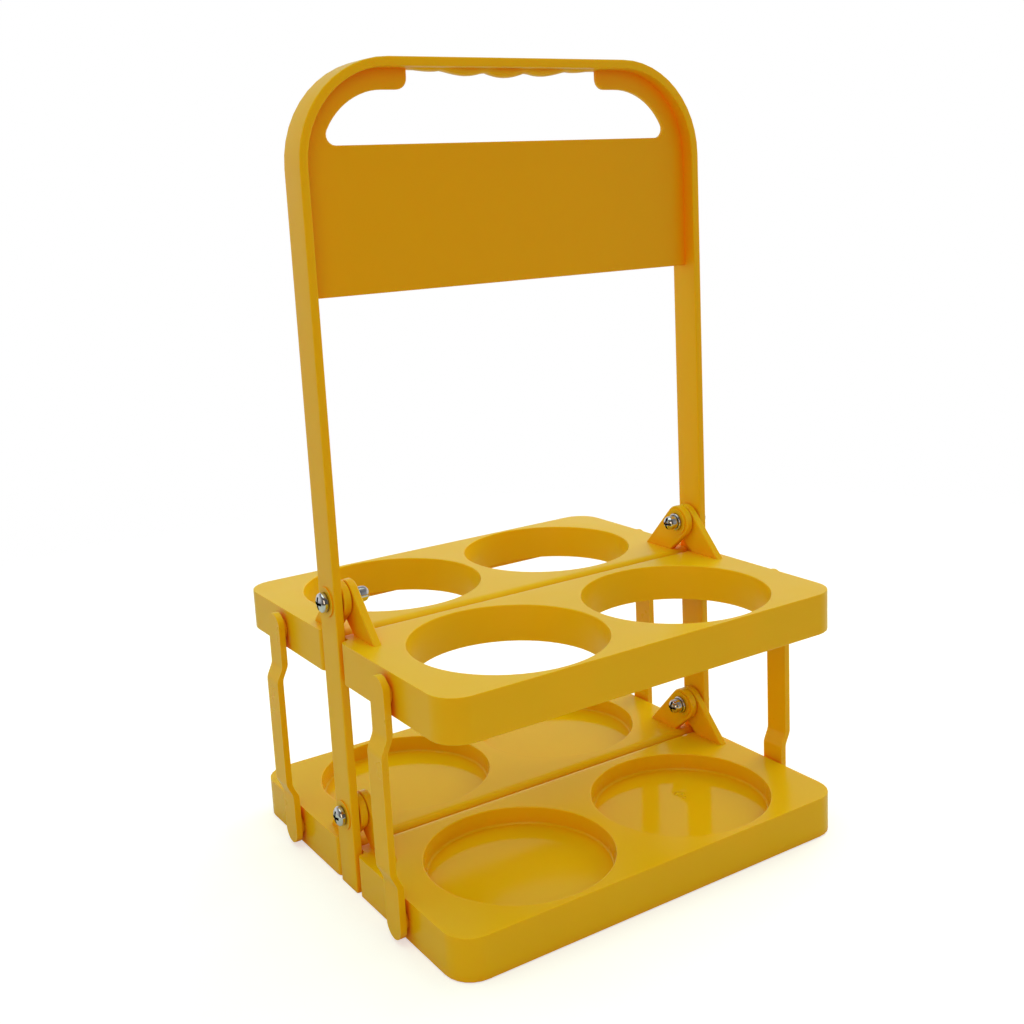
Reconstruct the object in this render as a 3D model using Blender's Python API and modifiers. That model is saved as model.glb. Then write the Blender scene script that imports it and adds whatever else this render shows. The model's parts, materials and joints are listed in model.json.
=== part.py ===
"""Foldable carrier for four bottles: a moulded handle frame with two levels of hinged half trays.

Metres, +Z up. X runs along the handle, -Y is the front. The origin is on the floor, midway between the legs.
Each half tray turns about a screw in the frame's leg, and four side links keep the lower half trays
parallel to the upper ones, so that everything folds up against the frame together.
"""

import math

import bmesh
import bpy
from mathutils import Matrix, Vector

# Bottle places: through holes in the upper trays, shallow cups below them in the lower trays
hole_radius = 0.0410
hole_bridge = 0.0048
hole_collar_height = 0.0158
cup_step = 0.0010
cup_depth = 0.0077
cup_floor = 0.0024
collar_wall = 0.0017
mouth_round = 0.0005
cup_floor_round = 0.0012
draft_angle_deg = 5.0
cup_draft_angle_deg = 4.0

# Half trays: the lips are the top's width between a hole and the tray's edges
tray_end_lip = 0.0142
tray_inner_lip = 0.0075
tray_outer_lip = 0.0022
tray_height = 0.0180
tray_parting_gap = 0.0010
tray_corner_radius = 0.0120
tray_top_round = 0.0016
tray_parting_round = 0.0035
tray_foot_round = 0.0003
tray_wall = 0.0024
tray_plate = 0.0026
tray_rib = 0.0016
tray_fold_gap = 0.0014
tray_end_inset = 0.0002

# Frame: a bent flat bar with a thin web across its top
frame_height = 0.3398
frame_depth = 0.0150
leg_thickness = 0.0038
frame_corner_radius = 0.0410
frame_edge_round = 0.0007

# Web: the panel, the strips round the two corners, and the hand opening between them
web_thickness = 0.0024
web_edge_round = 0.0005
panel_height = 0.0581
hand_opening_height = 0.0292
hand_opening_corner_round = 0.0040
strip_height = 0.0082
strip_length = 0.0108
strip_end_round = 0.0045

# Finger pad under the grip: a rounded rib with a lobe for each finger, narrower than the bar
pad_width = 0.0064
pad_round = 0.0024
pad_sink = 0.0030
pad_end_drop = 0.0003
finger_pitch = 0.0205
finger_lobe_depth = 0.0032
finger_valley_share = 0.33
finger_lobe_sharpness_share = 0.8
finger_arch_power = 1.3

# Notch in the tray's end for the frame's leg
notch_side_clearance = 0.0017
notch_floor_clearance = 0.0004
notch_outer_round = 0.0025
notch_inner_round = 0.0010
tray_inner_corner_round = 0.0006

# Hinge lugs
pivot_above_tray = 0.0148
lug_thickness = 0.0035
lug_overhang = 0.0001
lug_toe = 0.0240
lug_heel_inset = 0.0038
lug_edge_round = 0.0004
lug_set_in = 0.0002
lug_gap = 0.0004
lug_root = 0.0014

# Pivot barrels and their screws
barrel_radius = 0.0027
barrel_bore_radius = 0.0022
barrel_flange_radius = 0.0042
barrel_flange_height = 0.0010
barrel_flange_round = 0.0003
barrel_cap_radius = 0.0033
barrel_cap_height = 0.0062
barrel_cap_side = 0.0038
barrel_end_inset = 0.0006
barrel_bore_floor = 0.0022
screw_shank_radius = 0.0018
screw_head_radius = 0.0042
screw_head_height = 0.0033
screw_shank_length = 0.0078
head_rim_share = 0.45
recess_width = 0.0012
recess_length = 0.0054
recess_depth = 0.0015
boss_margin = 0.0006
boss_height = 0.0006
pivot_hole_clearance = 0.0003
seat_gap = 0.0003

# Side links
link_width = 0.0116
link_thickness = 0.0028
link_stand_off = 0.0019
link_jog = 0.0028
link_end_overhang = 0.0076
link_jog_start = 0.0165
link_jog_length = 0.0060
link_jog_lag_share = 0.25
link_bend_round = 0.0060
link_edge_round = 0.0007
link_shoulder_radius = 0.0045
link_pin_radius = 0.0025
link_pin_clearance = 0.0004
link_barb_radius = 0.0033
link_barb_length = 0.0016
link_slit_width = 0.0010

# Modelling values
overrun = 0.0020
overlap = 0.0008
hole_sides = 56
pin_sides = 20
corner_steps = 6
small_corner_steps = 3
pad_steps = 40
weld_distance = 0.000001
flat_angle_deg = 0.5
smooth_angle_deg = 32

# Places that follow from the sizes above
bottle_pitch = 2 * hole_radius + hole_bridge
half_tray = bottle_pitch / 2 + hole_radius + tray_end_lip
half_frame = half_tray + tray_end_inset
parting_y = tray_parting_gap / 2
bottle_row_offset = parting_y + tray_inner_lip + hole_radius
tray_depth = tray_inner_lip + 2 * hole_radius + tray_outer_lip
level_spacing = parting_y + tray_depth + tray_fold_gap
cup_radius = hole_radius - cup_step
notch_y = frame_depth / 2 + notch_side_clearance
lug_radius = frame_depth / 2 + lug_overhang
lug_heel = notch_y - lug_heel_inset
boss_radius = frame_depth / 2 - frame_edge_round - boss_margin
pivot_drop = tray_height + pivot_above_tray
lower_pivot_z = pivot_drop
upper_pivot_z = lower_pivot_z + level_spacing
link_pin_drop = pivot_above_tray + tray_height / 2
leg_inner_x = half_frame - leg_thickness
notch_floor_x = leg_inner_x - notch_floor_clearance
leg_lug_x = notch_floor_x - lug_set_in - lug_thickness / 2
inner_lug_x = leg_lug_x - lug_thickness - lug_gap
corner_x = half_frame - frame_corner_radius
corner_z = frame_height - frame_corner_radius
grip_z = frame_height - leg_thickness
half_grip = corner_x - strip_length
half_pad = half_grip + overlap


def clear_scene():
    for thing in list(bpy.data.objects):
        bpy.data.objects.remove(thing, do_unlink=True)


def new_collection(name):
    made = bpy.data.collections.new(name)
    bpy.context.scene.collection.children.link(made)
    return made


def new_material(name, colour, roughness, metallic):
    made = bpy.data.materials.new(name)
    made.use_nodes = True
    shader = made.node_tree.nodes["Principled BSDF"]
    shader.inputs["Base Color"].default_value = colour
    shader.inputs["Roughness"].default_value = roughness
    shader.inputs["Metallic"].default_value = metallic
    return made


def new_object(name, data):
    made = bpy.data.objects.new(name, data)
    cutters.objects.link(made)
    made.hide_render = True
    made.display_type = "WIRE"
    return made


def evaluated_mesh(thing):
    """A mesh of the object with its modifiers applied, in the object's own coordinates."""
    bpy.context.view_layer.update()
    graph = bpy.context.evaluated_depsgraph_get()
    return bpy.data.meshes.new_from_object(thing.evaluated_get(graph))


def bake(thing):
    """Applies the object's modifiers and removes the tools that they used."""
    tools = [m.object for m in thing.modifiers if m.type == "BOOLEAN"]
    mesh = evaluated_mesh(thing)
    thing.modifiers.clear()
    thing.data = mesh
    for tool in tools:
        bpy.data.objects.remove(tool, do_unlink=True)
    return thing


def boolean(thing, tool, operation):
    step = thing.modifiers.new(tool.name, "BOOLEAN")
    step.operation = operation
    step.solver = "EXACT"
    step.object = tool


def join(thing, tool):
    boolean(thing, tool, "UNION")


def cut(thing, tool):
    boolean(thing, tool, "DIFFERENCE")


def arc(centre, radius, start_deg, end_deg, steps):
    """Points on an arc, both ends included."""
    angles = [math.radians(start_deg + (end_deg - start_deg) * i / steps) for i in range(steps + 1)]
    return [(centre[0] + radius * math.cos(a), centre[1] + radius * math.sin(a)) for a in angles]


def rounded(corners):
    """An outline from corners given as x, y, radius and arc steps. A corner of radius zero stays sharp."""
    outline = []
    for i, (x, y, radius, steps) in enumerate(corners):
        here = Vector((x, y))
        before = (Vector(corners[i - 1][:2]) - here).normalized()
        after = (Vector(corners[(i + 1) % len(corners)][:2]) - here).normalized()
        if radius <= 0:
            outline.append((x, y))
            continue
        half_angle = before.angle(after) / 2
        centre = here + (before + after).normalized() * radius / math.sin(half_angle)
        first = here + before * radius / math.tan(half_angle)
        last = here + after * radius / math.tan(half_angle)
        sweep = (first - centre).angle_signed(last - centre)
        for step in range(steps + 1):
            spoke = (first - centre).copy()
            spoke.rotate(Matrix.Rotation(-sweep * step / steps, 2))
            outline.append(tuple(centre + spoke))
    return outline


def plate(name, outline, thickness, turn, place):
    """A flat outline extruded both ways from its plane, as a mesh with whole flat faces, turned and placed."""
    curve = bpy.data.curves.new(name, "CURVE")
    curve.dimensions = "2D"
    curve.fill_mode = "BOTH"
    curve.extrude = thickness / 2
    spline = curve.splines.new("POLY")
    spline.points.add(len(outline) - 1)
    for point, (x, y) in zip(spline.points, outline):
        point.co = (x, y, 0, 1)
    spline.use_cyclic_u = True
    drawn = new_object(name + "_outline", curve)
    mesh = evaluated_mesh(drawn)
    bpy.data.objects.remove(drawn, do_unlink=True)
    work = bmesh.new()
    work.from_mesh(mesh)
    bmesh.ops.remove_doubles(work, verts=work.verts, dist=weld_distance)
    whole = math.radians(flat_angle_deg)
    bmesh.ops.dissolve_limit(work, angle_limit=whole, verts=work.verts, edges=work.edges)
    bmesh.ops.transform(work, matrix=Matrix.Translation(place) @ turn, verts=work.verts)
    bmesh.ops.recalc_face_normals(work, faces=work.faces)
    work.to_mesh(mesh)
    work.free()
    return new_object(name, mesh)


# How a plate's plane lies: flat in XY, upright in XZ, or upright in YZ
flat = Matrix.Identity(4)
facing_front = Matrix.Rotation(math.radians(90), 4, "X")
facing_side = Matrix(((0, 0, 1, 0), (1, 0, 0, 0), (0, 1, 0, 0), (0, 0, 0, 1)))


def box(name, size, centre):
    work = bmesh.new()
    bmesh.ops.create_cube(work, size=1)
    bmesh.ops.scale(work, vec=size, verts=work.verts)
    bmesh.ops.translate(work, vec=centre, verts=work.verts)
    mesh = bpy.data.meshes.new(name)
    work.to_mesh(mesh)
    work.free()
    return new_object(name, mesh)


def cone(name, low_radius, high_radius, low, high, sides, turn, place):
    """A cone or cylinder along its own Z from low to high, turned and placed."""
    work = bmesh.new()
    bmesh.ops.create_cone(
        work, cap_ends=True, segments=sides, radius1=low_radius, radius2=high_radius, depth=high - low
    )
    bmesh.ops.translate(work, vec=(0, 0, (low + high) / 2), verts=work.verts)
    bmesh.ops.transform(work, matrix=Matrix.Translation(place) @ turn, verts=work.verts)
    mesh = bpy.data.meshes.new(name)
    work.to_mesh(mesh)
    work.free()
    return new_object(name, mesh)


def turned(name, profile, sides, turn, place):
    """A profile of radius and height, from the top down the outer side, turned about its own Z."""
    work = bmesh.new()
    points = [work.verts.new((radius, 0, height)) for radius, height in profile]
    for first, second in zip(points, points[1:]):
        work.edges.new((first, second))
    mesh = bpy.data.meshes.new(name)
    work.to_mesh(mesh)
    work.free()
    thing = new_object(name, mesh)
    screw = thing.modifiers.new("turn", "SCREW")
    screw.steps = sides
    screw.render_steps = sides
    screw.use_merge_vertices = True
    screw.merge_threshold = weld_distance
    bake(thing)
    thing.data.transform(Matrix.Translation(place) @ turn)
    return thing


def round_edges(thing, width, segments, chosen):
    """Rounds the edges that the function picks, given an edge's two end points."""
    work = bmesh.new()
    work.from_mesh(thing.data)
    edges = [e for e in work.edges if chosen(e.verts[0].co, e.verts[1].co)]
    bmesh.ops.bevel(
        work, geom=edges, offset=width, segments=segments, profile=0.5, affect="EDGES", clamp_overlap=True
    )
    work.to_mesh(thing.data)
    work.free()


def along_x(outward):
    """A turn that sends a turned piece's own Z along X, towards +X or -X."""
    return Matrix.Rotation(math.radians(90 * outward), 4, "Y")


def finish(thing, name, material, place, turn_deg):
    """Moves a baked piece's origin to its place, names it and puts it among the carrier's parts."""
    thing.name = name
    thing.data.name = name
    cutters.objects.unlink(thing)
    carrier.objects.link(thing)
    thing.hide_render = False
    thing.display_type = "TEXTURED"
    thing.location = place
    thing.rotation_euler = (0, 0, math.radians(turn_deg))
    thing.data.materials.clear()
    thing.data.materials.append(material)
    thing.data.shade_smooth()
    thing.data.set_sharp_from_angle(angle=math.radians(smooth_angle_deg))
    return thing


def copy_of(original, name, place, turn_deg):
    """A second object on the same mesh."""
    made = bpy.data.objects.new(name, original.data)
    carrier.objects.link(made)
    made.location = place
    made.rotation_euler = (0, 0, math.radians(turn_deg))
    return made


def pad_drop(x):
    """How far the finger pad hangs below the bar."""
    arch = max(1 - (x / half_pad) ** 2, 0) ** finger_arch_power
    wave = abs(math.cos(math.pi * x / finger_pitch)) ** finger_lobe_sharpness_share
    return pad_end_drop + finger_lobe_depth * arch * (finger_valley_share + (1 - finger_valley_share) * wave)


def rim_outline():
    """The bent bar from the side: outer edge up and over, then back along the inner edge."""
    inner_radius = frame_corner_radius - leg_thickness
    outline = [(half_frame, 0)]
    outline += arc((corner_x, corner_z), frame_corner_radius, 0, 90, 2 * corner_steps)
    outline += arc((-corner_x, corner_z), frame_corner_radius, 90, 180, 2 * corner_steps)
    outline += [(-half_frame, 0), (-leg_inner_x, 0)]
    outline += arc((-corner_x, corner_z), inner_radius, 180, 90, 2 * corner_steps)
    outline += arc((corner_x, corner_z), inner_radius, 90, 0, 2 * corner_steps)
    return outline + [(leg_inner_x, 0)]


def make_pad():
    """The finger pad, sunk into the bar and into the web's strips at both its ends."""
    stations = [half_pad * (2 * i / pad_steps - 1) for i in range(pad_steps + 1)]
    outline = [(x, grip_z - pad_drop(x)) for x in stations]
    outline += [(half_pad, grip_z + pad_sink), (-half_pad, grip_z + pad_sink)]
    pad = plate("pad", outline, pad_width, facing_front, (0, 0, 0))

    def along_a_lower_edge(a, b):
        return abs(a.y - b.y) < weld_distance and max(a.z, b.z) < grip_z

    round_edges(pad, pad_round, small_corner_steps, along_a_lower_edge)
    return pad


def web_half():
    """The right half of the web's outline, from the middle of the panel's top round to its bottom."""
    panel_top = grip_z - hand_opening_height
    panel_bottom = panel_top - panel_height
    side = frame_corner_radius - leg_thickness - strip_height
    corner = hand_opening_corner_round
    # The lower corner's arc touches the panel's top from above and the side arc from inside
    touch_z = panel_top + corner
    touch_x = corner_x + math.sqrt((side - corner) ** 2 - (touch_z - corner_z) ** 2)
    touch_deg = math.degrees(math.atan2(touch_z - corner_z, touch_x - corner_x))
    outline = arc((touch_x, touch_z), corner, -90, touch_deg, 2 * small_corner_steps)
    outline += arc((corner_x, corner_z), side, touch_deg, 90, 2 * corner_steps)[1:]
    end_centre = (half_grip + strip_end_round, corner_z + side + strip_end_round)
    outline += arc(end_centre, strip_end_round, 270, 180, corner_steps)
    outline.append((half_grip, grip_z + overlap))
    sunk_radius = frame_corner_radius - leg_thickness + overlap
    outline += arc((corner_x, corner_z), sunk_radius, 90, 0, 2 * corner_steps)
    outline.append((leg_inner_x + overlap, panel_bottom))
    return outline


def make_frame():
    rim = plate("rim", rim_outline(), frame_depth, facing_front, (0, 0, 0))
    face = frame_depth / 2

    def on_a_face(a, b):
        same_face = abs(a.y - b.y) < weld_distance and abs(abs(a.y) - face) < weld_distance
        return same_face and max(a.z, b.z) > weld_distance

    round_edges(rim, frame_edge_round, 2, on_a_face)
    right = web_half()
    left = [(-x, z) for x, z in reversed(right)]
    web = plate("web", right + left, web_thickness, facing_front, (0, 0, 0))
    round_edges(web, web_edge_round, 1, lambda a, b: abs(a.y - b.y) < weld_distance)
    join(rim, web)
    join(rim, make_pad())
    for z in (lower_pivot_z, upper_pivot_z):
        for side in (-1, 1):
            outward = along_x(side)
            seat = (side * half_frame, 0, z)
            join(rim, cone("boss", boss_radius, boss_radius, -overlap, boss_height, pin_sides, outward, seat))
    bake(rim)
    for z in (lower_pivot_z, upper_pivot_z):
        hole = barrel_radius + pivot_hole_clearance
        reach = half_frame + boss_height + overrun
        cut(rim, cone("pivot_hole", hole, hole, -reach, reach, pin_sides, along_x(1), (0, 0, z)))
    return finish(bake(rim), "handle_frame", yellow, (0, 0, 0), 0)


def tray_corners(inset):
    """The front half tray's outline, moved inwards by the inset."""
    end = half_tray - inset
    floor = notch_floor_x - inset
    outer = -(parting_y + tray_depth) + inset
    inner = -parting_y - inset
    notch = -notch_y - inset
    corner = max(tray_corner_radius - inset, notch_inner_round)
    outside = max(notch_outer_round - inset, 0)
    inside = notch_inner_round + inset
    tip = max(tray_inner_corner_round - inset, 0)
    half = [
        (end, outer, corner, corner_steps),
        (end, notch, outside, small_corner_steps),
        (floor, notch, inside, small_corner_steps),
        (floor, inner, tip, small_corner_steps),
    ]
    return half + [(-x, y, radius, steps) for x, y, radius, steps in reversed(half)]


def bottle_places():
    return [(side * bottle_pitch / 2, -bottle_row_offset) for side in (-1, 1)]


def parting_cutter():
    """A bar along X that rounds the top edge of the front tray's parting face."""
    top = -pivot_above_tray
    centre = (-parting_y - tray_parting_round, top - tray_parting_round)
    outline = [(centre[0], top + overrun), (overrun, top + overrun), (overrun, centre[1])]
    outline += arc(centre, tray_parting_round, 0, 90, corner_steps)
    return plate("parting", outline, 2 * half_tray, facing_side, (0, 0, 0))


def bottle_place_profile(radius, lean_deg, depth, foot_round):
    """A bottle place's rounded mouth and leaning wall, as radius and height above the tray's top."""
    lean = math.radians(lean_deg)

    def wall(height):
        return radius + height * math.tan(lean)

    mouth = (wall(-mouth_round) + mouth_round / math.cos(lean), -mouth_round)
    outline = [(0, overrun), (mouth[0], overrun)]
    outline += arc(mouth, mouth_round, 90, 180 - lean_deg, small_corner_steps)
    if foot_round > 0:
        foot = (wall(foot_round - depth) - foot_round / math.cos(lean), foot_round - depth)
        outline += arc(foot, foot_round, -lean_deg, -90, small_corner_steps)
    else:
        outline.append((wall(-depth), -depth))
    return outline + [(0, -depth)]


def lug_outline():
    """A lug from the side, about its pivot, with the front tray's outward side towards -Y."""
    base = -pivot_above_tray - lug_root
    outline = []

    def tangent_deg(out, up, way):
        """Where a line from this point touches the lug's round head."""
        reach = math.hypot(out, up)
        return math.degrees(math.atan2(up, out) + way * math.acos(lug_radius / reach))

    toe = tangent_deg(lug_toe, -pivot_above_tray, 1)
    heel = tangent_deg(lug_heel, -pivot_above_tray, -1)
    head = arc((0, 0), lug_radius, toe, 360 + heel, 3 * corner_steps)
    outline += [(lug_toe, base), (lug_toe, -pivot_above_tray)] + head
    outline += [(lug_heel, -pivot_above_tray), (lug_heel, base)]
    return [(-out, up) for out, up in outline]


def make_tray(level, name):
    """A front half tray about its pivot, with the lug beside the leg at +X and the inner lug at -X."""
    top = -pivot_above_tray
    bottom = top - tray_height
    middle = (0, 0, (top + bottom) / 2)
    tray = plate("tray", rounded(tray_corners(0)), tray_height, flat, middle)

    def outside_the_notch(a, b):
        return min(a.z, b.z) > top - weld_distance and max(a.y, b.y) < weld_distance - notch_y

    round_edges(tray, tray_top_round, small_corner_steps, outside_the_notch)
    round_edges(tray, tray_foot_round, 1, lambda a, b: max(a.z, b.z) < bottom + weld_distance)
    cut(tray, parting_cutter())

    hollow_height = tray_height - tray_plate + overrun
    hollow_middle = (0, 0, top - tray_plate - hollow_height / 2)
    hollow = plate("hollow", rounded(tray_corners(tray_wall)), hollow_height, flat, hollow_middle)
    radius = hole_radius if level == "upper" else cup_radius
    collar_bottom = top - (hole_collar_height if level == "upper" else cup_depth + cup_floor)
    collar_radius = radius + collar_wall
    for x, y in bottle_places():
        collar = (x, y, 0)
        cut(hollow, cone("collar", collar_radius, collar_radius, collar_bottom, top, hole_sides, flat, collar))
    for x in (-inner_lug_x, 0, leg_lug_x):
        length = tray_depth + overrun
        height = tray_height - tray_plate
        rib_middle = (x, -parting_y - tray_depth / 2, top - height / 2)
        cut(hollow, box("rib", (tray_rib, length, height), rib_middle))
    cut(tray, bake(hollow))

    if level == "upper":
        profile = bottle_place_profile(radius, draft_angle_deg, tray_height + overrun, 0)
    else:
        profile = bottle_place_profile(radius, cup_draft_angle_deg, cup_depth, cup_floor_round)
    for x, y in bottle_places():
        cut(tray, turned("bottle_place", profile, hole_sides, flat, (x, y, top)))
    bake(tray)

    for x in (-inner_lug_x, leg_lug_x):
        lug = plate("lug", lug_outline(), lug_thickness, facing_side, (x, 0, 0))
        round_edges(lug, lug_edge_round, 1, lambda a, b: abs(a.x - b.x) < weld_distance)
        join(tray, lug)
    pad_face = (-(inner_lug_x - lug_thickness / 2), 0, 0)
    join(tray, cone("pad", boss_radius, boss_radius, -overlap, boss_height, pin_sides, along_x(1), pad_face))
    bake(tray)
    hole = barrel_radius + pivot_hole_clearance
    cut(tray, cone("pivot_hole", hole, hole, -half_tray, half_tray, pin_sides, along_x(1), (0, 0, 0)))
    pin_hole = link_pin_radius + link_pin_clearance
    for side in (-1, 1):
        wall = (side * (half_tray - tray_wall / 2), -bottle_row_offset, -link_pin_drop)
        reach = tray_wall / 2 + overrun
        cut(tray, cone("pin_hole", pin_hole, pin_hole, -reach, reach, pin_sides, along_x(1), wall))
    return finish(bake(tray), name, yellow, (0, 0, lower_pivot_z), 0)


def link_side_outline():
    """A link's jogged side view about its upper pin: distance outside the tray's end, and height."""
    inner = link_stand_off
    outer = inner + link_thickness
    top = link_end_overhang
    bottom = -level_spacing - link_end_overhang
    start = link_jog_start
    end = link_jog_start + link_jog_length
    lag = link_thickness * link_jog_lag_share
    bend = link_bend_round
    outline = rounded([
        (outer, bottom, 0, 0),
        (outer, -level_spacing + start, bend, small_corner_steps),
        (outer + link_jog, -level_spacing + end, bend, small_corner_steps),
        (outer + link_jog, -end, bend, small_corner_steps),
        (outer, -start, bend, small_corner_steps),
        (outer, top, 0, 0),
        (inner, top, 0, 0),
        (inner, -start + lag, bend, small_corner_steps),
        (inner + link_jog, -end + lag, bend, small_corner_steps),
        (inner + link_jog, -level_spacing + end - lag, bend, small_corner_steps),
        (inner, -level_spacing + start - lag, bend, small_corner_steps),
        (inner, bottom, 0, 0),
    ])
    return [(half_tray + out, z) for out, z in outline]


def link_face_outline():
    """A link's long face about its upper pin: straight sides and round ends."""
    half = link_width / 2
    top = link_end_overhang - half
    bottom = -level_spacing - top
    upper = arc((0, top), half, 0, 180, 2 * corner_steps)
    lower = arc((0, bottom), half, 180, 360, 2 * corner_steps)
    return upper + lower


def link_pin_profile():
    """Shoulder, neck and barb of a link's snap pin, as heights from the tray's end towards the link."""
    root = link_stand_off + link_thickness / 2
    barb = -tray_wall - link_pin_clearance
    tip = barb - link_barb_length
    return [
        (0, root),
        (link_shoulder_radius, root),
        (link_shoulder_radius, seat_gap),
        (link_pin_radius, seat_gap),
        (link_pin_radius, barb),
        (link_barb_radius, barb),
        (link_pin_radius, tip),
        (0, tip),
    ]


def make_link(name):
    """A right-hand link about its upper pin's axis, drawn at X as it stands and at Y zero."""
    link = plate("link", link_side_outline(), link_width, facing_front, (0, 0, 0))
    face = plate("link_face", link_face_outline(), half_tray, facing_side, (half_tray, 0, 0))
    boolean(link, face, "INTERSECT")
    bake(link)

    def along_the_contour(a, b):
        return math.hypot(a.y - b.y, a.z - b.z) > weld_distance and abs(a.y - b.y) < link_width / 2

    round_edges(link, link_edge_round, 2, along_the_contour)
    for z in (0, -level_spacing):
        join(link, turned("pin", link_pin_profile(), pin_sides, along_x(1), (half_tray, 0, z)))
    bake(link)
    tip = tray_wall + link_pin_clearance + link_barb_length + overrun
    for z in (0, -level_spacing):
        slit = (half_tray - tip / 2, 0, z)
        cut(link, box("slit", (tip, link_slit_width, 2 * link_barb_radius + overrun), slit))
    return finish(bake(link), name, yellow, (0, bottle_row_offset, upper_pivot_z - link_pin_drop), 0)


def dome(radius, foot, height):
    """A dome's outline from the middle of its top down to its foot."""
    steps = small_corner_steps + 1
    turns = [math.radians(90 * i / steps) for i in range(steps + 1)]
    return [(radius * math.sin(turn), foot + (height - foot) * math.cos(turn)) for turn in turns]


def cut_recess(thing, height, outward, face_x):
    """The cross recess in a head whose top is this far along the outward axis from the face it sits on."""
    reach = recess_depth + overrun
    middle = (face_x + outward * (height - recess_depth + reach / 2), 0, 0)
    for width, length in ((recess_width, recess_length), (recess_length, recess_width)):
        cut(thing, box("recess", (reach, width, length), middle))


def make_barrel(name):
    """The inner half of a pivot: a tall flanged cap on the inner lug and a bored barrel out to the leg."""
    head_face = inner_lug_x - lug_thickness / 2 - boss_height - seat_gap
    length = half_frame - barrel_end_inset - head_face
    shoulder = barrel_flange_height - barrel_flange_round
    profile = dome(barrel_cap_radius, barrel_cap_side, barrel_cap_height)
    profile += [(barrel_cap_radius, barrel_flange_height)]
    profile += [(barrel_flange_radius - barrel_flange_round, barrel_flange_height)]
    profile += [(barrel_flange_radius, shoulder), (barrel_flange_radius, 0)]
    profile += [(barrel_radius, 0), (barrel_radius, -length), (barrel_bore_radius, -length)]
    profile += [(barrel_bore_radius, -barrel_bore_floor), (0, -barrel_bore_floor)]
    barrel = turned("barrel", profile, pin_sides, along_x(-1), (head_face, 0, 0))
    cut_recess(barrel, barrel_cap_height, -1, head_face)
    return finish(bake(barrel), name, steel, (0, 0, lower_pivot_z), 0)


def make_screw(name):
    """The outer half of a pivot: a cross-recessed pan head on the leg's boss, and a shank in the barrel."""
    head_face = half_frame + boss_height + seat_gap
    profile = dome(screw_head_radius, screw_head_height * head_rim_share, screw_head_height)
    profile += [(screw_head_radius, 0), (screw_shank_radius, 0)]
    profile += [(screw_shank_radius, -screw_shank_length), (0, -screw_shank_length)]
    screw = turned("screw", profile, pin_sides, along_x(1), (head_face, 0, 0))
    cut_recess(screw, screw_head_height, 1, head_face)
    return finish(bake(screw), name, steel, (0, 0, lower_pivot_z), 0)


clear_scene()
carrier = new_collection("bottle_carrier")
cutters = new_collection("cutters")
yellow = new_material("yellow_plastic", (0.78, 0.47, 0.02, 1), 0.22, 0)
steel = new_material("bright_steel", (0.80, 0.80, 0.82, 1), 0.15, 1)

make_frame()

for level_name, pivot_z in (("lower", lower_pivot_z), ("upper", upper_pivot_z)):
    tray_axis = (0, 0, pivot_z)
    front = make_tray(level_name, level_name + "_front_tray")
    front.location = tray_axis
    copy_of(front, level_name + "_back_tray", tray_axis, 180)

right_back = make_link("back_right_link")
link_z = right_back.location.z
copy_of(right_back, "front_right_link", (0, -bottle_row_offset, link_z), 0)
copy_of(right_back, "front_left_link", (0, -bottle_row_offset, link_z), 180)
copy_of(right_back, "back_left_link", (0, bottle_row_offset, link_z), 180)

for make, piece in ((make_barrel, "pivot_barrel"), (make_screw, "pivot_screw")):
    first = make("lower_right_" + piece)
    copy_of(first, "lower_left_" + piece, (0, 0, lower_pivot_z), 180)
    copy_of(first, "upper_right_" + piece, (0, 0, upper_pivot_z), 0)
    copy_of(first, "upper_left_" + piece, (0, 0, upper_pivot_z), 180)
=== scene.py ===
"""Looks for the folding bottle carrier: glossy golden-yellow mouldings, bright screws and a pale floor."""

import json
import math

import bpy
from mathutils import Matrix, Vector

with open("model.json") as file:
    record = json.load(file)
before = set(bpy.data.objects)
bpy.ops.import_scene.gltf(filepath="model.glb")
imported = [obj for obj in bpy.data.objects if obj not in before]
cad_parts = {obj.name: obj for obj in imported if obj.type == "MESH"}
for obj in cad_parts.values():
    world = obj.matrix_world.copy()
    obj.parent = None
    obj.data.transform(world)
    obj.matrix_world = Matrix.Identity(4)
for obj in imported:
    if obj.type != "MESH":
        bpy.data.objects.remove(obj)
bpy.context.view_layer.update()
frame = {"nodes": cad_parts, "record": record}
nodes = frame["nodes"]

# Places in metres where the looks change. The gate's ring and dot have an X, a Y and a radius

cup_places = [mount["pos_m"] for mount in frame["record"]["mounts"] if mount["name"].endswith("_cup")]
cup_floor_z = cup_places[0][2]
cup_floor_reach = 0.0004
web_reach = 0.0013
web_facing = 0.7
gate_ring = (0.0520, -0.0382, 0.0018)
gate_dot = (0.0516, -0.0419, 0.0003)
gate_line_inner = 0.0002
gate_line_outer = 0.0007

# Colours of the plastic and the steel

yellow = (0.84, 0.490, 0.003)
drift_yellow = (0.825, 0.475, 0.003)
# Painted shade: the deeper orange laid on the web's broad faces
web_shade_yellow = (0.77, 0.385, 0.002)
# Painted shade and bounce light: the deep orange laid in tight places
painted_shade_yellow = (0.93, 0.29, 0.001)
highlight_yellow = (1.0, 0.92, 0.65)
# Painted shade: the dark laid in the screws' recesses
steel_recess_shade = (0.015, 0.014, 0.013)
steel_bright = (0.70, 0.71, 0.73)

# The plastic's painted shade in tight places: how far they are looked for, and how open they start and end

hollow_distance = 0.016
hollow_deep_at = 0.22
hollow_clear_at = 0.74
frame_deep_at = 0.40
frame_clear_at = 0.86
gap_distance = 0.007
gap_deep_at = 0.12
gap_clear_at = 0.74
plastic_rays = 5
web_shade_share = 0.6
tight_roughness = 0.3

# The plastic's surface: noise scales per metre, and heights in metres

drift_scale = 9
gloss_scale = 60
gloss_detail = 3
polish_scale = 25
polish_from = 0.50
polish_to = 0.65
skin_scale = 900
skin_height = 0.00005
gate_height = 0.0005

# The steel's surface

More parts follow.
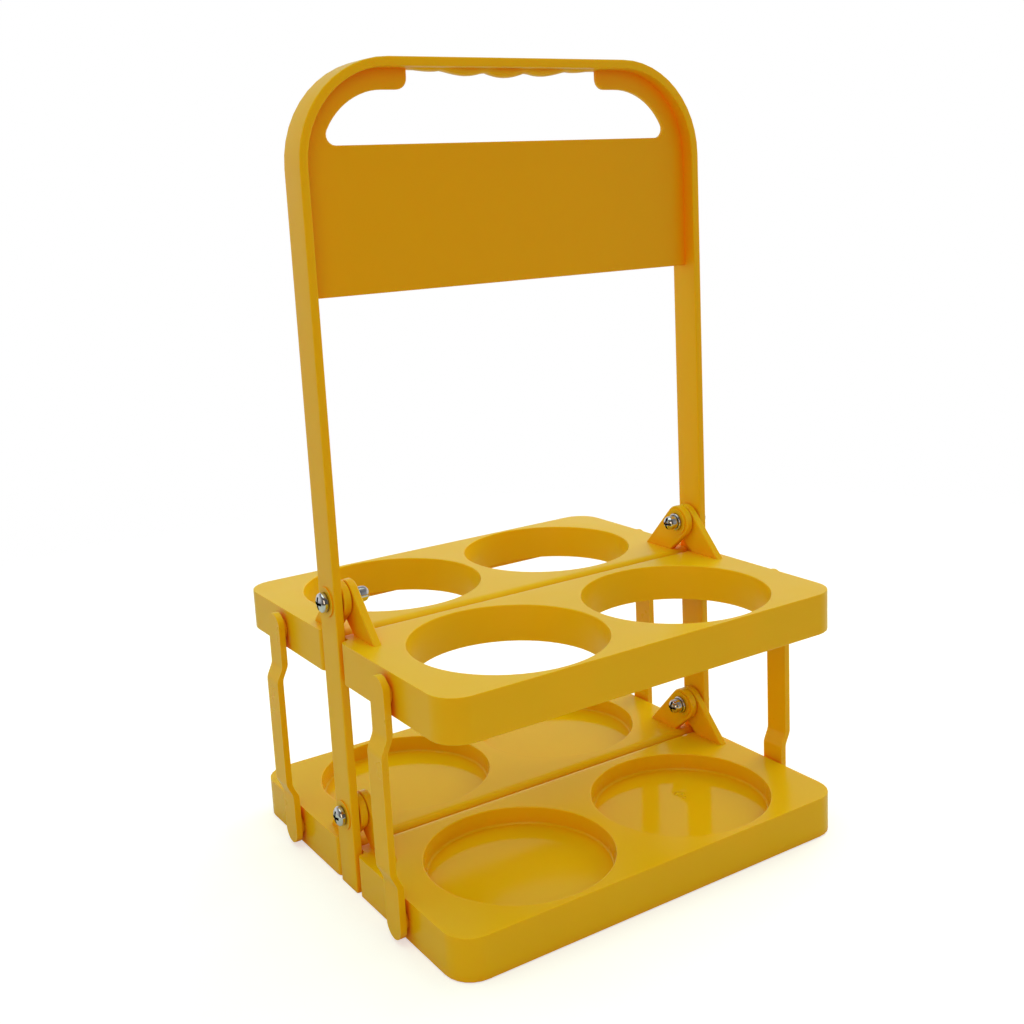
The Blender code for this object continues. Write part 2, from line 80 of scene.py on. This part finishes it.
steel_distance = 0.0026
steel_shade_at = 0.45
steel_clear_at = 0.95
steel_rays = 8
steel_scale = 1500
steel_rough_low = 0.06
steel_rough_high = 0.16

# Shading of the mouldings and the screws

moulding_smooth_deg = 32
screw_smooth_deg = 50
join_distance = 0.000002
large_face_weight = 50

# The floor, in metres

floor_size = 3
floor_below = 0.0002
floor_grey = (0.68, 0.68, 0.68)
floor_glow = 0.54
fade_from = 0.30
fade_to = 0.70

# The studio. A way's height and its distance away from the camera both run from -1 to 1

white = (1, 1, 1)
room_steps = (
    (0.0, 0.45), (0.47, 0.60), (0.50, 0.85), (0.66, 0.72), (0.74, 0.45), (0.86, 0.25), (1.0, 0.35),
)
room_shadow = (0.03, 0.02, 0.01)
front_light = (0.36, 0.235, 0.15)
side_light = (0.61, 0.62, 0.52)
back_light = (0.90, 0.88, 0.70)
top_light = (0.46, 0.61, 0.50)
away_x, away_y = 0.55, 0.83
shadow_to_room = (-1.0, 0.45)
front_to_side = (-0.9, 0)
side_to_back = (0.0, 0.8)
around_to_top = (0.2, 0.9)


# Shader helpers

class Tree:
    """A material's node tree with short ways to add and join its nodes."""

    def __init__(self, owner):
        owner.use_nodes = True
        self.nodes = owner.node_tree.nodes
        self.links = owner.node_tree.links

    def add(self, kind, **settings):
        made = self.nodes.new(kind)
        for key, value in settings.items():
            setattr(made, key, value)
        return made

    def put(self, source, socket):
        """Joins an output to an input, or sets a plain value on it."""
        if isinstance(source, bpy.types.NodeSocket):
            self.links.new(source, socket)
        elif socket.type == "RGBA":
            socket.default_value = (*source, 1)
        else:
            socket.default_value = source

    def feed(self, node, **sources):
        """Puts sources into a node's inputs by name. Names use _ for a space."""
        for key, source in sources.items():
            self.put(source, node.inputs[key.replace("_", " ")])

    def join(self, node, *sources):
        """Puts sources into a node's inputs in their order, and gives its first output."""
        for source, socket in zip(sources, node.inputs):
            self.put(source, socket)
        return node.outputs[0]

    def math(self, operation, *values):
        return self.join(self.add("ShaderNodeMath", operation=operation), *values)

    def split(self, place):
        """The X, Y and Z of a place."""
        made = self.add("ShaderNodeSeparateXYZ")
        self.join(made, place)
        return made.outputs

    def distance(self, place, centre=(0, 0, 0)):
        made = self.add("ShaderNodeVectorMath", operation="DISTANCE")
        self.join(made, place, centre)
        return made.outputs["Value"]

    def noise(self, place, scale, detail=2.0):
        made = self.add("ShaderNodeTexNoise")
        self.feed(made, Vector=place, Scale=scale, Detail=detail)
        return made.outputs["Fac"]

    def openness(self, distance, rays, **settings):
        """1 on open faces, and less where other faces stand within a distance."""
        made = self.add("ShaderNodeAmbientOcclusion", samples=rays, **settings)
        self.feed(made, Distance=distance)
        return made.outputs["AO"]

    def remap(self, value, low, high, low_at=0.3, high_at=0.7):
        """Turns values from low_at to high_at into values from low to high, in a straight line."""
        made = self.add("ShaderNodeMapRange")
        self.feed(made, Value=value, From_Min=low_at, From_Max=high_at, To_Min=low, To_Max=high)
        return made.outputs["Result"]

    def ease(self, value, low, high, low_at, high_at):
        """Does as remap does, with soft ends."""
        eased = self.remap(value, low, high, low_at, high_at)
        eased.node.interpolation_type = "SMOOTHSTEP"
        return eased

    def blend(self, factor, first, second):
        made = self.add("ShaderNodeMix", data_type="RGBA")
        self.feed(made, Factor=factor, A=first, B=second)
        return made.outputs["Result"]

    def bump(self, strength, distance, height, **settings):
        made = self.add("ShaderNodeBump")
        self.feed(made, Strength=strength, Distance=distance, Height=height, **settings)
        return made.outputs["Normal"]


# Materials

def on_cup_floor(tree, place):
    """1 on the floors of the cups, and 0 elsewhere."""
    above_floor = tree.math("SUBTRACT", tree.split(place)["Z"], cup_floor_z)
    return tree.math("LESS_THAN", tree.math("ABSOLUTE", above_floor), cup_floor_reach)


def on_the_web(tree, place, facing):
    """1 on the broad faces of the slender web in the frame's middle plane, and 0 on the bar round it."""
    near = tree.math("LESS_THAN", tree.math("ABSOLUTE", tree.split(place)["Y"]), web_reach)
    broad = tree.math("GREATER_THAN", tree.math("ABSOLUTE", tree.split(facing)["Y"]), web_facing)
    return tree.math("MULTIPLY", near, broad)


def gate_mark(tree, place):
    """The raised ring and dot in one cup, where the plastic entered the mould."""
    marks = []
    for across, along, radius in (gate_ring, gate_dot):
        from_centre = tree.distance(place, (across, along, cup_floor_z))
        off_line = tree.math("ABSOLUTE", tree.math("SUBTRACT", from_centre, radius))
        marks.append(tree.ease(off_line, 1, 0, gate_line_inner, gate_line_outer))
    return tree.math("MAXIMUM", *marks)


def painted_shade_places(tree, deep_at, clear_at):
    """Where painted shade goes: 1 in a piece's own hollows and beside its neighbours, and 0 on open faces.
    """
    hollow = tree.openness(hollow_distance, plastic_rays, only_local=True)
    gap = tree.openness(gap_distance, plastic_rays)
    return tree.math(
        "MAXIMUM", tree.ease(hollow, 1, 0, deep_at, clear_at),
        tree.ease(gap, 1, 0, gap_deep_at, gap_clear_at),
    )


def plastic(
    name, rough_low, rough_high, grain, deep_at=hollow_deep_at, clear_at=hollow_clear_at,
    cups_in=False, shade_the_web=False,
):
    """Moulded plastic: a faint drift of colour and gloss, painted shade and bounce light as deep orange in
    tight places, painted shade on the web's broad faces when asked, and a fine skin.
    """
    made = bpy.data.materials.new(name)
    tree = Tree(made)
    coordinates = tree.add("ShaderNodeTexCoord").outputs
    place = coordinates["Object"]
    drift = tree.remap(tree.noise(place, drift_scale), 0, 1)
    painted_shade = painted_shade_places(tree, deep_at, clear_at)
    colour = tree.blend(drift, yellow, drift_yellow)
    # Painted shade: the web's broad faces are coloured deeper orange
    if shade_the_web:
        web_shade = tree.math("MULTIPLY", on_the_web(tree, place, coordinates["Normal"]), web_shade_share)
        colour = tree.blend(web_shade, colour, web_shade_yellow)
    # Painted shade and bounce light: hollows and places beside neighbours are coloured deep orange
    colour = tree.blend(painted_shade, colour, painted_shade_yellow)
    roughness = tree.remap(tree.noise(place, gloss_scale, gloss_detail), rough_low, rough_high)
    roughness = tree.math("ADD", roughness, tree.math("MULTIPLY", painted_shade, tight_roughness))
    normal = tree.bump(grain, skin_height, tree.noise(place, skin_scale))
    if cups_in:
        patches = tree.remap(tree.noise(place, polish_scale), polish_from, polish_to)
        polish = tree.math("MULTIPLY", on_cup_floor(tree, place), patches)
        roughness = tree.math("MULTIPLY", roughness, tree.math("SUBTRACT", 1, polish))
        normal = tree.bump(1.0, gate_height, gate_mark(tree, place), Normal=normal)
    tree.feed(
        tree.nodes["Principled BSDF"], Base_Color=colour, Roughness=roughness, Normal=normal, IOR=1.47,
        Specular_IOR_Level=0.26, Specular_Tint=highlight_yellow, Subsurface_Weight=0.35,
        Subsurface_Scale=0.003, Subsurface_Radius=(1.0, 0.45, 0.06),
    )
    return made


def steel(name):
    """Bright plated steel, with painted shade darkening its recesses."""
    made = bpy.data.materials.new(name)
    tree = Tree(made)
    place = tree.add("ShaderNodeTexCoord").outputs["Object"]
    # Painted shade: the recesses are coloured dark
    unshaded = tree.ease(tree.openness(steel_distance, steel_rays), 0, 1, steel_shade_at, steel_clear_at)
    colour = tree.blend(unshaded, steel_recess_shade, steel_bright)
    roughness = tree.remap(tree.noise(place, steel_scale), steel_rough_low, steel_rough_high)
    tree.feed(tree.nodes["Principled BSDF"], Base_Color=colour, Metallic=1.0, Roughness=roughness)
    return made


frame_plastic = plastic(
    "frame_yellow", rough_low=0.30, rough_high=0.38, grain=0.22, deep_at=frame_deep_at,
    clear_at=frame_clear_at, shade_the_web=True,
)
upper_plastic = plastic("upper_tray_yellow", rough_low=0.28, rough_high=0.34, grain=0.10)
lower_plastic = plastic("lower_tray_yellow", rough_low=0.18, rough_high=0.24, grain=0.08, cups_in=True)
link_plastic = plastic("link_yellow", rough_low=0.26, rough_high=0.34, grain=0.15)
plated_steel = steel("plated_steel")


def dress(name, material, smooth_deg=moulding_smooth_deg):
    """Gives a CAD node its material, and shading that keeps flats flat, edges crisp and rounds smooth."""
    piece = nodes[name]
    piece.data.materials.clear()
    piece.data.materials.append(material)
    if "custom_normal" in piece.data.attributes:
        piece.data.attributes.remove(piece.data.attributes["custom_normal"])
    piece.data.shade_smooth()
    piece.modifiers.new("join", "WELD").merge_threshold = join_distance
    crease = piece.modifiers.new("crease", "EDGE_SPLIT")
    crease.split_angle = math.radians(smooth_deg)
    crease.use_edge_sharp = False
    shading = piece.modifiers.new("shading", "WEIGHTED_NORMAL")
    shading.mode = "FACE_AREA_WITH_ANGLE"
    shading.weight = large_face_weight


for name in nodes:
    if "pivot" in name:
        dress(name, plated_steel, screw_smooth_deg)
    elif "upper" in name:
        dress(name, upper_plastic)
    elif "lower" in name:
        dress(name, lower_plastic)
    elif "link" in name:
        dress(name, link_plastic)
    else:
        dress(name, frame_plastic)


# Floor, light and camera

def make_floor():
    """A pale floor round the carrier that fades into the pale surroundings."""
    bpy.ops.mesh.primitive_plane_add(size=floor_size, location=(0, 0, -floor_below))
    floor = bpy.context.object
    floor.name = "floor"
    made = bpy.data.materials.new("pale_floor")
    tree = Tree(made)
    shader = tree.nodes["Principled BSDF"]
    tree.feed(shader, Base_Color=floor_grey, Roughness=0.9, Specular_IOR_Level=0.1)
    seen = tree.add("ShaderNodeLightPath").outputs["Is Camera Ray"]
    glow = tree.add("ShaderNodeEmission")
    tree.feed(glow, Color=white, Strength=tree.math("MULTIPLY", seen, floor_glow))
    lit = tree.join(tree.add("ShaderNodeAddShader"), shader.outputs[0], glow.outputs[0])
    from_middle = tree.distance(tree.add("ShaderNodeTexCoord").outputs["Object"])
    fade = tree.ease(from_middle, 0, 1, fade_from, fade_to)
    clear = tree.add("ShaderNodeBsdfTransparent").outputs[0]
    both = tree.join(tree.add("ShaderNodeMixShader"), fade, lit, clear)
    tree.feed(tree.nodes["Material Output"], Surface=both)
    floor.data.materials.append(made)


def make_room(tree, height):
    """The studio's brightness at a height: pale walls that darken upwards."""
    room = tree.add("ShaderNodeValToRGB")
    stops = room.color_ramp.elements
    while len(stops) < len(room_steps):
        stops.new(position=0.5)
    for stop, (position, level) in zip(stops, room_steps):
        stop.position = position
        stop.color = (level, level, level, 1)
    return tree.join(room, tree.remap(height, 0, 1, -1, 1))


def make_world():
    """White to the camera, an even soft light on surfaces, and a studio room in reflections."""
    world = bpy.data.worlds.new("studio")
    bpy.context.scene.world = world
    tree = Tree(world)
    path = tree.add("ShaderNodeLightPath").outputs
    way = tree.split(tree.add("ShaderNodeTexCoord").outputs["Generated"])
    away = tree.math("ADD", tree.math("MULTIPLY", way["X"], away_x), tree.math("MULTIPLY", way["Y"], away_y))
    seen_room = tree.blend(tree.ease(away, 0, 1, *shadow_to_room), room_shadow, make_room(tree, way["Z"]))
    around = tree.blend(tree.ease(away, 0, 1, *front_to_side), front_light, side_light)
    around = tree.blend(tree.ease(away, 0, 1, *side_to_back), around, back_light)
    around = tree.blend(tree.ease(way["Z"], 0, 1, *around_to_top), around, top_light)
    mirror = tree.math("MAXIMUM", path["Is Glossy Ray"], path["Is Transmission Ray"])
    level = tree.blend(mirror, around, seen_room)
    level = tree.blend(path["Is Camera Ray"], level, white)
    tree.feed(tree.nodes["Background"], Color=level, Strength=1.0)


def area_light(name, place, target, size, power, colour, in_gloss=True):
    """A lamp with a place, a target and a size in metres, and a power in watts."""
    lamp = bpy.data.lights.new(name, "AREA")
    lamp.color = colour
    lamp.shape = "RECTANGLE"
    lamp.size, lamp.size_y = size
    lamp.energy = power
    holder = bpy.data.objects.new(name, lamp)
    bpy.context.scene.collection.objects.link(holder)
    holder.location = place
    holder.visible_glossy = in_gloss
    holder.rotation_euler = (Vector(target) - Vector(place)).to_track_quat("-Z", "Y").to_euler()


def make_camera():
    """The camera solved from the photograph: place in metres, aim in degrees, and lens in pixels."""
    place = Vector((-0.302142, -0.460067, 0.282790))
    yaw, pitch, roll = (math.radians(angle) for angle in (-32.149, -11.086, 3.025))
    focal, centre_u, centre_v, picture_size = 1275.056, 497.579, 450.514, 1024
    ahead = Vector((-math.sin(yaw) * math.cos(pitch), math.cos(yaw) * math.cos(pitch), math.sin(pitch)))
    level = Vector((math.cos(yaw), math.sin(yaw), 0))
    below = ahead.cross(level)
    right = math.cos(roll) * level + math.sin(roll) * below
    down = math.cos(roll) * below - math.sin(roll) * level
    turn = Matrix((right, -down, -ahead)).transposed().to_4x4()
    data = bpy.data.cameras.new("photo_camera")
    data.sensor_width = 36
    data.lens = focal * data.sensor_width / picture_size
    data.shift_x = (picture_size / 2 - centre_u) / picture_size
    data.shift_y = (centre_v - picture_size / 2) / picture_size
    data.clip_start = 0.01
    camera = bpy.data.objects.new("photo_camera", data)
    bpy.context.scene.collection.objects.link(camera)
    camera.matrix_world = Matrix.Translation(place) @ turn
    bpy.context.scene.camera = camera


make_floor()
make_world()
area_light(
    "overhead", place=(-0.10, 0.15, 1.30), target=(0, 0, 0.1), size=(1.2, 1.0), power=4.6,
    colour=(0.86, 1.0, 0.90),
)
area_light(
    "right", place=(1.15, 0.30, 0.55), target=(0, 0, 0.06), size=(1.1, 0.7), power=7.8,
    colour=(1.0, 0.97, 0.80), in_gloss=False,
)
area_light(
    "left_front", place=(-0.85, -1.00, 0.52), target=(0, 0, 0.15), size=(0.9, 0.9), power=3.9,
    colour=(1.0, 0.80, 0.58),
)
make_camera()
bpy.context.scene.view_settings.view_transform = "Standard"
